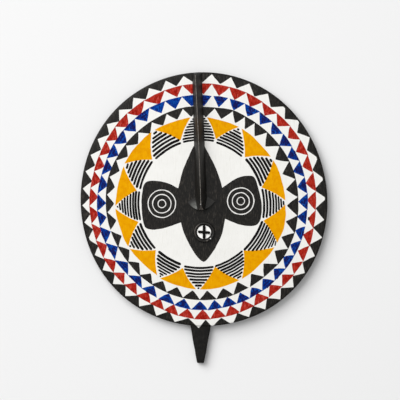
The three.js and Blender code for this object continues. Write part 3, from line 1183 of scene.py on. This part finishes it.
@dataclass
class Mouth:
    """The mouth: a lip round a flat white floor, with a cross standing in it."""

    board: Board
    x: float = 2.0
    y: float = -61.2
    outer_diameter: float = 40.6
    stretch: float = 1.02
    lip_height: float = 7
    crest_diameter: float = 34.4
    crest_flat: float = 0.9
    hollow_diameter: float = 25.8
    hollow_depth: float = 4
    bar_widths: tuple = (5.4, 4.9)
    bar_clearances: tuple = (0.2, 1.3)
    bar_height: float = 2.6
    # How far the cross bar falls from its left end to its right one
    bar_fall: float = 2.0
    # How much lower the upright bar is, its round ends as a share of half its width, and its edges
    upright_drop: float = 0.25
    bar_end_rounding: float = 0.9
    bar_edge_rounding: float = 0.5
    # Where the lip lost its paint: middle across and up, and radius
    chips: tuple = ((14.3, -73.6, 1.05), (7.8, -77.2, 1.2))
    # The arc of the lip's outer upper left that carries a painted highlight in grey: degrees, and
    # radii
    highlight_arc: tuple = (118, 205, 15.8, 18.4)
    foot_depth: float = 8
    foot_sink: float = 0.7
    lip_steps: int = 6
    spin_steps: int = 96
    # How far the lip's surface wanders, and over what length
    wander: float = 0.25
    wander_length: float = 5

    def ring(self) -> bpy.types.Object:
        """The lip and the hollow's floor, spun from their section.

        Returns:
            The closed ring with its floor.
        """
        base = self.board.height(self.x, self.y)
        outer = self.outer_diameter / 2
        crest = (self.crest_diameter + self.crest_flat) / 2
        hollow = self.hollow_diameter / 2
        floor = self.lip_height - self.hollow_depth
        section = [(0, -self.foot_depth), (outer, -self.foot_depth)]
        for step in range(self.lip_steps + 1):
            turn = math.pi / 2 * step / self.lip_steps
            z = -self.foot_sink + (self.lip_height + self.foot_sink) * math.sin(turn)
            section.append((outer - (outer - crest) * (1 - math.cos(turn)), z))
        # The inner wall starts with a worn edge and ends in a soft corner
        section += [
            (crest - self.crest_flat, self.lip_height),
            (crest - self.crest_flat - 0.5, self.lip_height - 0.3),
            (hollow + 0.3, floor + 0.4), (hollow, floor), (hollow * 0.55, floor), (0, floor),
        ]
        places = [(self.x + r, self.y, base + z) for r, z in section]
        thing = mesh_object("mouth", places, edges=[(i, i + 1) for i in range(len(places) - 1)])
        in_edit_mode(thing)
        bpy.ops.mesh.select_all(action="SELECT")
        centre = (self.x * MM, self.y * MM, base * MM)
        bpy.ops.mesh.spin(
            steps=self.spin_steps, angle=math.tau, center=centre, axis=(0, 0, 1), dupli=False,
        )
        bpy.ops.mesh.select_all(action="SELECT")
        bpy.ops.transform.resize(value=(self.stretch, 1 / self.stretch, 1), center_override=centre)
        bpy.ops.object.mode_set(mode="OBJECT")
        for corner in thing.data.vertices:
            if corner.co.z > (base + floor + 0.1) * MM:
                shift = noise.noise(corner.co / (self.wander_length * MM))
                corner.co.z += self.wander * MM * shift
        cover(thing, Paint.HANDLED)
        outward(thing)
        for face in thing.data.polygons:
            x, y, z = face.center / MM
            # The floor's white, brighter than the face's, is partly painted light against the
            # hollow's shade
            if abs(z - base - floor) < 0.05:
                face.material_index = Paint.MOUTH_WHITE.value
            # The lip's upper left arc is painted grey as a highlight
            elif self.on_highlight_arc(x - self.x, y - self.y):
                face.material_index = Paint.WORN_BLACK.value
            for chip, (across, up, radius) in enumerate(self.chips):
                if z > base + floor + 1 and math.hypot(x - across, y - up) < radius:
                    face.material_index = (Paint.RUBBED if chip else Paint.MOUTH_WHITE).value
        return thing

    def on_highlight_arc(self, x: float, y: float) -> bool:
        """Whether a place, measured from the mouth's middle, lies on the lip's arc of painted
        highlight.
        """
        first, last, low, high = self.highlight_arc
        degrees = math.degrees(math.atan2(y, x)) % 360
        ease = math.sin(math.pi * min(1.0, max(0.0, (degrees - first) / (last - first))))
        middle, half = (low + high) / 2, (high - low) / 2 * ease ** 0.5
        return abs(math.hypot(x, y) - middle) < half

    def bar(self, upright: bool) -> bpy.types.Object:
        """One bar of the cross, with round ends.

        Args:
            upright: Whether it runs up and down; the other one runs across.

        Returns:
            The bar.
        """
        base = self.board.height(self.x, self.y)
        floor = base + self.lip_height - self.hollow_depth
        clearance = self.bar_clearances[0 if upright else 1]
        half = self.hollow_diameter / 2 - clearance
        top = floor + self.bar_height - (self.upright_drop if upright else 0)
        low = floor - self.foot_depth / 2
        wide = self.bar_widths[0 if upright else 1] / 2
        size = (wide, half) if upright else (half, wide)
        thing = block("mouth bar")
        for corner in thing.data.vertices:
            across, up, level = corner.co
            fall = 0 if upright else self.bar_fall * across / 2
            corner.co = Vector((
                self.x + across * size[0],
                self.y + up * size[1] - fall,
                top if level > 0 else low,
            )) * MM
        pick_edges(thing, lambda first, second: abs(first.z - second.z) > MM)
        round_edges(self.bar_end_rounding * wide, segments=5)
        # The round ends' faces are still selected, and their edges are softened with the top's
        level = (top - 0.01) * MM
        pick_edges(thing, lambda first, second: min(first.z, second.z) > level, more=True)
        round_edges(self.bar_edge_rounding, segments=2)
        bpy.ops.object.mode_set(mode="OBJECT")
        cover(thing, Paint.BRUSH_BLACK)
        outward(thing)
        return thing


@dataclass
class Peg:
    """The pointed peg below the board."""

    board: Board
    x: float = -4.6
    length: float = 71.5
    root_width: float = 39
    tip_width: float = 13.4
    back_inset: float = 2.6
    root_thickness: float = 15.6
    tip_thickness: float = 11
    chamfer: float = 2.2
    root_depth: float = 16
    sections: int = 12
    wobble: float = 0.5
    # One white point of the pattern runs over the board's edge and ends on the peg
    white_tip_x: float = -8.4
    white_tip_y: float = -244.8
    white_tip_spread: float = 1.1

    def build(self) -> bpy.types.Object:
        """Tapers a block and breaks its edges.

        Returns:
            The peg.
        """
        thing = block("peg")
        pick_edges(thing, lambda first, second: abs(first.y - second.y) > 1)
        bpy.ops.mesh.subdivide(number_cuts=self.sections - 1)
        bpy.ops.object.mode_set(mode="OBJECT")
        root_y = -self.board.edge(-math.pi / 2)
        start = -self.root_depth / self.length
        for corner in thing.data.vertices:
            side, run, level = corner.co
            share = start + (1 - start) * (1 - run) / 2
            width = self.root_width + (self.tip_width - self.root_width) * share
            thickness = self.root_thickness + (self.tip_thickness - self.root_thickness) * share
            y = root_y - self.length * share
            wobble = self.wobble * drift(y, 20, 2, side * 3) if share < 0.999 else 0
            corner.co = Vector((
                self.x + side * (width / 2 + wobble),
                y,
                self.back_inset + (thickness if level > 0 else 0),
            )) * MM
        tip_y = (root_y - self.length + 0.01) * MM
        pick_edges(thing, lambda first, second: (
            abs(first.y - second.y) > 2 * MM or max(first.y, second.y) < tip_y
        ))
        round_edges(self.chamfer, segments=3)
        for side in (-1, 1):
            bpy.ops.mesh.select_all(action="SELECT")
            bpy.ops.mesh.bisect(
                plane_co=(self.white_tip_x * MM, self.white_tip_y * MM, 0),
                plane_no=(1, side * self.white_tip_spread, 0),
            )
        bpy.ops.object.mode_set(mode="OBJECT")
        # The peg's darker black is painted shade
        cover(thing, Paint.KNIFED_BLACK)
        outward(thing)
        for face in thing.data.polygons:
            x, y, z = face.center / MM
            over = y - self.white_tip_y - abs(x - self.white_tip_x) / self.white_tip_spread
            if over > 0 and z > self.back_inset + self.tip_thickness:
                face.material_index = Paint.WHITE.value
        return thing


# Finishes


@dataclass(frozen=True)
class BrushedPaint:
    """Matte home-mixed paint, brushed by hand on carved wood: uneven coats, faint strokes."""

    name: str
    colour: str
    heavy: str
    thin: str
    roughness: float = 0.62
    mottle_mm: float = 9
    stroke_mm: tuple = (1.6, 26)
    thin_share: float = 0.25
    heavy_share: float = 0.6
    relief: float = 0.12
    shine: float = 0.08
    ior: float = 1.48
    grit_mm: float = 0.9
    # Between which values of the noise the heavy coat sets in, and the thin strokes
    heavy_range: tuple = (0.42, 0.62)
    thin_range: tuple = (0.52, 0.72)
    # How much smoother and rougher than usual the paint gets between its strokes
    roughness_spread: tuple = (-0.08, 0.1)
    # A painted highlight, a spot painted lighter: its middle across and up, and its radius, in
    # millimetres
    highlight_spot: tuple = ()
    highlight_colour: str = ""
    # Shallow cuts left by the knife or adze: width, length and depth in millimetres
    cuts_mm: tuple = ()

    def material(self) -> bpy.types.Material:
        """Makes the material.

        Returns:
            A Principled material whose colour, roughness and relief follow coats and strokes.
        """
        made = bpy.data.materials.new(self.name)
        made.use_nodes = True
        tree = made.node_tree
        tree.nodes.clear()
        place = add_node(tree, "ShaderNodeTexCoord").outputs["Object"]
        wide, long = self.stroke_mm
        stretched = add_node(
            tree, "ShaderNodeMapping", {"Vector": place},
            Scale=(1 / (wide * MM), 1 / (long * MM), 1 / (wide * MM)),
        )
        strokes = add_node(
            tree, "ShaderNodeTexNoise", {"Vector": stretched.outputs["Vector"]},
            Scale=1.0, Detail=4.0, Roughness=0.62,
        )
        mottle = add_node(
            tree, "ShaderNodeTexNoise", {"Vector": place},
            Scale=1 / (self.mottle_mm * MM), Detail=3.0, Roughness=0.6,
        )
        grit = add_node(
            tree, "ShaderNodeTexNoise", {"Vector": place},
            Scale=1 / (self.grit_mm * MM), Detail=2.0, Roughness=0.6,
        )
        heavy = add_node(
            tree, "ShaderNodeMapRange", {"Value": mottle.outputs["Fac"]},
            **{"From Min": self.heavy_range[0], "From Max": self.heavy_range[1],
               "To Min": 0.0, "To Max": self.heavy_share},
        )
        # Sockets 6 and 7 are a mixer's two colours, and 2 is its result
        first = add_node(
            tree, "ShaderNodeMix", {"Factor": heavy.outputs["Result"]}, data_type="RGBA",
        )
        first.inputs[6].default_value = linear(self.colour)
        first.inputs[7].default_value = linear(self.heavy)
        bare = add_node(
            tree, "ShaderNodeMapRange", {"Value": strokes.outputs["Fac"]},
            **{"From Min": self.thin_range[0], "From Max": self.thin_range[1],
               "To Min": 0.0, "To Max": self.thin_share},
        )
        second = add_node(
            tree, "ShaderNodeMix", {"Factor": bare.outputs["Result"], 6: first.outputs[2]},
            data_type="RGBA",
        )
        second.inputs[7].default_value = linear(self.thin)
        colour = second.outputs[2]
        if self.highlight_spot:
            colour = self.paint_highlight(tree, place, mottle.outputs["Fac"], colour)
        matt = add_node(
            tree, "ShaderNodeMapRange", {"Value": strokes.outputs["Fac"]},
            **{"From Min": 0.3, "From Max": 0.7,
               "To Min": self.roughness + self.roughness_spread[0],
               "To Max": self.roughness + self.roughness_spread[1]},
        )
        height = add_node(
            tree, "ShaderNodeMath", {0: strokes.outputs["Fac"], 1: grit.outputs["Fac"]},
            operation="ADD",
        )
        bump = add_node(
            tree, "ShaderNodeBump", {"Height": height.outputs["Value"]},
            Strength=0.5, Distance=self.relief * MM,
        )
        if self.cuts_mm:
            bump = self.cuts(tree, place, bump.outputs["Normal"])
        shader = add_node(
            tree, "ShaderNodeBsdfPrincipled",
            {"Base Color": colour, "Roughness": matt.outputs["Result"],
             "Normal": bump.outputs["Normal"]},
        )
        shader.inputs["IOR"].default_value = self.ior
        shader.inputs["Specular IOR Level"].default_value = self.shine
        add_node(tree, "ShaderNodeOutputMaterial", {"Surface": shader.outputs["BSDF"]})
        return made

    def paint_highlight(
        self, tree: bpy.types.NodeTree, place: bpy.types.NodeSocket,
        mottle: bpy.types.NodeSocket, colour: bpy.types.NodeSocket,
    ) -> bpy.types.NodeSocket:
        """Paints a highlight into the colour: mixes it towards a lighter grey round the spot.

        Args:
            tree: The material's nodes.
            place: Object coordinates.
            mottle: Noise that frays the spot.
            colour: The paint's colour so far.

        Returns:
            The colour with the spot in it.
        """
        across, up, radius = self.highlight_spot
        level = add_node(tree, "ShaderNodeVectorMath", {0: place}, operation="MULTIPLY")
        level.inputs[1].default_value = (1, 1, 0)
        away = add_node(
            tree, "ShaderNodeVectorMath", {0: level.outputs["Vector"]}, operation="DISTANCE",
        )
        away.inputs[1].default_value = (across * MM, up * MM, 0)
        near = add_node(
            tree, "ShaderNodeMapRange", {"Value": away.outputs["Value"]},
            interpolation_type="SMOOTHSTEP",
            **{"From Min": 0.0, "From Max": radius * MM, "To Min": 1.6, "To Max": 0.0},
        )
        share = add_node(
            tree, "ShaderNodeMath", {0: near.outputs["Result"], 1: mottle},
            operation="MULTIPLY", use_clamp=True,
        )
        mixed = add_node(
            tree, "ShaderNodeMix", {"Factor": share.outputs["Value"], 6: colour}, data_type="RGBA",
        )
        mixed.inputs[7].default_value = linear(self.highlight_colour)
        return mixed.outputs[2]

    def cuts(
        self, tree: bpy.types.NodeTree, place: bpy.types.NodeSocket, normal: bpy.types.NodeSocket,
    ) -> bpy.types.Node:
        """Adds the shallow cuts of the blade to the relief.

        Args:
            tree: The material's nodes.
            place: Object coordinates.
            normal: The relief so far.

        Returns:
            The bump node that carries both.
        """
        wide, long, deep = self.cuts_mm
        spread = add_node(
            tree, "ShaderNodeMapping", {"Vector": place},
            Scale=(1 / (wide * MM), 1 / (long * MM), 1 / (wide * MM)),
        )
        cell = add_node(
            tree, "ShaderNodeTexVoronoi", {"Vector": spread.outputs["Vector"]},
            feature="SMOOTH_F1", Scale=1.0, Smoothness=0.25,
        )
        return add_node(
            tree, "ShaderNodeBump", {"Height": cell.outputs["Distance"], "Normal": normal},
            Strength=0.8, Distance=deep * MM,
        )


FINISHES: dict[Paint, BrushedPaint] = {
    # Soot-black paint: warm near-black, streaked upright where the brush ran thin over the grain
    Paint.BLACK: BrushedPaint(
        "soot_black_paint", "#110f0b", "#080706", "#45403a", roughness=0.42, mottle_mm=5,
        stroke_mm=(1.8, 10), thin_share=0.75, heavy_share=0.85, relief=0.36, shine=0.18,
    ),
    # Chalk-white paint: dead matte and thick, so it shows almost no stroke, only a little dust
    Paint.WHITE: BrushedPaint(
        "chalk_white_paint", "#ebeae6", "#efeeea", "#dcdad3", roughness=0.8, mottle_mm=16,
        stroke_mm=(2.2, 22), thin_share=0.5, relief=0.14, shine=0.12,
    ),
    # Red earth paint: opaque brick red, brighter where it lies thin over the white
    Paint.RED: BrushedPaint(
        "red_earth_paint", "#a9281a", "#850c04", "#cb594f", roughness=0.66, mottle_mm=6,
        stroke_mm=(2.4, 8), thin_share=0.85, heavy_share=0.85, shine=0.04,
    ),
    # Washing-blue paint, first coat: bright cobalt where only one coat lies over the white
    Paint.BLUE: BrushedPaint(
        "washing_blue_paint", "#04358e", "#052068", "#1a74d6", roughness=0.6, mottle_mm=5,
        stroke_mm=(2.4, 7), thin_share=0.85, heavy_share=0.85, shine=0.03,
    ),
    # The same blue where a second coat lies: navy, streaked with the cobalt below
    Paint.DEEP_BLUE: BrushedPaint(
        "washing_blue_second_coat", "#101650", "#1b1448", "#0b46a8", roughness=0.58, mottle_mm=4.5,
        stroke_mm=(2.2, 8), thin_share=0.85, heavy_share=0.85, shine=0.03,
    ),
    # Yellow ochre paint: even and opaque with a slight cloudiness
    Paint.YELLOW: BrushedPaint(
        "yellow_ochre_paint", "#e49f00", "#db9000", "#ecae10", roughness=0.66, mottle_mm=9,
        stroke_mm=(2.4, 14), thin_share=0.75, heavy_share=0.9, shine=0.02,
    ),
    # Brush black: the same soot, laid full and wet in single strokes, so it is deeper and even
    Paint.BRUSH_BLACK: BrushedPaint(
        "brush_black_paint", "#0b0a09", "#080706", "#171513", roughness=0.55, mottle_mm=8,
        stroke_mm=(1.6, 10), thin_share=0.4, relief=0.15,
    ),
    # Handled black: the soot paint polished by hands where the carving stands up, so it takes a
    # dull sheen
    Paint.HANDLED: BrushedPaint(
        "handled_black_paint", "#181613", "#100f0d", "#3a3732", roughness=0.46, mottle_mm=6,
        stroke_mm=(1.4, 18), thin_share=0.5, heavy_share=0.7, relief=0.22, shine=0.35,
    ),
    # The nose's black, full black but for a painted highlight: lighter grey on the left of its
    # lower edge, where the light catches the facet
    Paint.WORN_NOSE: BrushedPaint(
        "nose_black_painted_highlight", "#181613", "#100f0d", "#3b3833", roughness=0.5, mottle_mm=5,
        stroke_mm=(1.4, 9), thin_share=0.5, heavy_share=0.7, relief=0.25, shine=0.25,
        highlight_spot=(-14.5, -13.5, 15.5), highlight_colour="#6f706c",
    ),
    # Knifed black: the soot on the board's sides and the peg, over the flat cuts of the knife,
    # darker than the face's black as painted shade
    Paint.KNIFED_BLACK: BrushedPaint(
        "knifed_black_edge", "#0b0a08", "#060504", "#2e2a24", roughness=0.55, mottle_mm=9,
        stroke_mm=(3, 5), thin_share=0.6, heavy_share=0.6, relief=0.2, shine=0.22,
        cuts_mm=(13, 13, 1.2),
    ),
    # Light grey speckled where black still holds: wood dust where a chip of the lip lost its paint,
    # and a painted highlight along the ridge's crest
    Paint.RUBBED: BrushedPaint(
        "chipped_wood_and_painted_highlight", "#948f88", "#5f5b56", "#bab4ab", roughness=0.45, mottle_mm=5,
        stroke_mm=(1.0, 7), thin_share=0.7, heavy_share=0.9, relief=0.1,
    ),
    # Painted highlight: a patchy, soft-edged brown grey on the black where the light catches the
    # nose's end facet and the lip's upper left
    Paint.WORN_BLACK: BrushedPaint(
        "painted_highlight_grey", "#544e49", "#2b2824", "#8a837b", roughness=0.5, mottle_mm=3,
        stroke_mm=(1.6, 3), thin_share=0.8, heavy_share=0.8, relief=0.2, shine=0.3,
    ),
    # Mouth white: the chalk laid thick and clean on the mouth's floor, the mask's brightest place,
    # and brighter than the face's white as painted light against the hollow's shade
    Paint.MOUTH_WHITE: BrushedPaint(
        "mouth_chalk_white", "#fbfaf6", "#fdfcf9", "#f1efe9", roughness=0.8, mottle_mm=6,
        stroke_mm=(2, 7), thin_share=0.5, relief=0.14, shine=0.1,
    ),
    # Bare wood of the back: pale tropical wood gone brown, open straight grain along the board
    Paint.BARE_WOOD: BrushedPaint(
        "bare_weathered_wood", "#6f5236", "#523a24", "#8a6a48", roughness=0.78, mottle_mm=30,
        stroke_mm=(1.1, 60), thin_share=0.8, heavy_share=0.8, relief=0.5, shine=0.3,
        cuts_mm=(16, 38, 2.2),
    ),
}


@dataclass
class SunMask:
    """The whole mask, one carved piece of wood with its paint."""

    board: Board = field(default_factory=Board)
    crease_degrees: float = 32

    def build(self) -> bpy.types.Object:
        """Carves every form, joins them into one closed piece and paints it.

        Returns:
            The finished piece.
        """
        nose = Nose(self.board)
        mouth = Mouth(self.board)
        body = PaintedBoard(self.board, mask_pattern(self.board)).build()
        self.report(body)
        materials = [FINISHES[paint].material() for paint in Paint]
        forms = [
            nose.ridge(), nose.flare(), mouth.ring(),
            mouth.bar(upright=True), mouth.bar(upright=False), Peg(self.board).build(),
        ]
        for form in [body, *forms]:
            for material in materials:
                form.data.materials.append(material)
        for form in forms:
            self.report(form)
            self.join(body, form)
        body.name = body.data.name = "painted_sun_mask"
        only_select(body)
        bpy.ops.object.shade_smooth_by_angle(angle=math.radians(self.crease_degrees))
        self.report(body)
        return body

    @staticmethod
    def join(body: bpy.types.Object, form: bpy.types.Object) -> None:
        """Joins a carved form into the body and removes the loose copy.

        Args:
            body: What grows.
            form: What is joined in.
        """
        only_select(body)
        joint = body.modifiers.new("join", "BOOLEAN")
        joint.operation = "UNION"
        joint.solver = "EXACT"
        joint.material_mode = "INDEX"
        joint.object = form
        bpy.ops.object.modifier_apply(modifier=joint.name)
        bpy.data.objects.remove(form)

    @staticmethod
    def report(thing: bpy.types.Object) -> None:
        """Logs a piece's name and how many faces it has."""
        log.info("%s: %d faces", thing.name, len(thing.data.polygons))


@dataclass
class Studio:
    """Pale floor, soft light from the upper left, and the camera straight above."""

    # The camera, in millimetres: what it sees of the mask's face across, and where it stands
    view_width: float = 763
    view_x: float = -5.7
    camera_height: float = 2600
    face_height: float = 24
    sensor_width: float = 36
    # The floor: its side and how far the camera sees, in metres, and its gap in millimetres
    floor_size: float = 9
    clip_end: float = 20
    floor_gap: float = 0.2
    floor_colour: str = "#ececec"
    # The lights: directions in degrees, distances and sizes in metres, powers in watts
    key_azimuth: float = 133
    key_elevation: float = 46
    key_distance: float = 10
    key_size: float = 7.6
    key_power: float = 1030
    top_height: float = 4
    top_size: float = 3.6
    top_power: float = 42
    sky_strength: float = 0.24

    def floor(self) -> None:
        """A large matte floor just under the mask's back."""
        bpy.ops.object.select_all(action="DESELECT")
        bpy.ops.mesh.primitive_plane_add(
            size=self.floor_size, location=(0, 0, -self.floor_gap * MM),
        )
        thing = bpy.context.object
        thing.name = "floor"
        made = bpy.data.materials.new("matte_paper_floor")
        made.use_nodes = True
        shader = made.node_tree.nodes["Principled BSDF"]
        shader.inputs["Base Color"].default_value = linear(self.floor_colour)
        shader.inputs["Roughness"].default_value = 1.0
        shader.inputs["Specular IOR Level"].default_value = 0.0
        thing.data.materials.append(made)

    def light(self) -> None:
        """One broad soft light from the upper left, a weaker one overhead, and an even pale sky."""
        azimuth, elevation = math.radians(self.key_azimuth), math.radians(self.key_elevation)
        towards_key = self.key_distance * Vector((
            math.cos(elevation) * math.cos(azimuth),
            math.cos(elevation) * math.sin(azimuth),
            math.sin(elevation),
        ))
        self.panel("key", towards_key, self.key_size, self.key_power)
        self.panel("overhead", Vector((0, 0, self.top_height)), self.top_size, self.top_power)
        world = bpy.data.worlds.new("pale_sky")
        world.use_nodes = True
        sky = world.node_tree.nodes["Background"]
        sky.inputs["Color"].default_value = linear("#ffffff")
        sky.inputs["Strength"].default_value = self.sky_strength
        bpy.context.scene.world = world
        bpy.context.scene.view_settings.view_transform = "Standard"

    @staticmethod
    def panel(name: str, place: Vector, size: float, power: float) -> None:
        """A square light panel that faces the mask.

        Args:
            name: The panel's name.
            place: Where it hangs, in metres.
            size: Its side, in metres.
            power: Its power, in watts.
        """
        data = bpy.data.lights.new(name, "AREA")
        data.shape = "SQUARE"
        data.size = size
        data.energy = power
        hung = bpy.data.objects.new(name, data)
        hung.location = place
        hung.rotation_euler = place.to_track_quat("Z", "Y").to_euler()
        bpy.context.scene.collection.objects.link(hung)

    def camera(self) -> None:
        """The camera, looking straight down with the mask's top upward."""
        data = bpy.data.cameras.new("camera")
        data.sensor_width = self.sensor_width
        data.lens = data.sensor_width * (self.camera_height - self.face_height) / self.view_width
        data.clip_end = self.clip_end
        thing = bpy.data.objects.new("camera", data)
        thing.location = (self.view_x * MM, 0, self.camera_height * MM)
        bpy.context.scene.collection.objects.link(thing)
        bpy.context.scene.camera = thing


def main() -> None:
    """Builds the mask and its studio, in order."""
    logging.basicConfig(level=logging.INFO, format="%(name)s: %(message)s")
    mask = SunMask().build()
    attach(mask, "root")
    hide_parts("sun_mask")
    studio = Studio()
    studio.floor()
    studio.light()
    studio.camera()


if __name__ == "__main__":
    main()
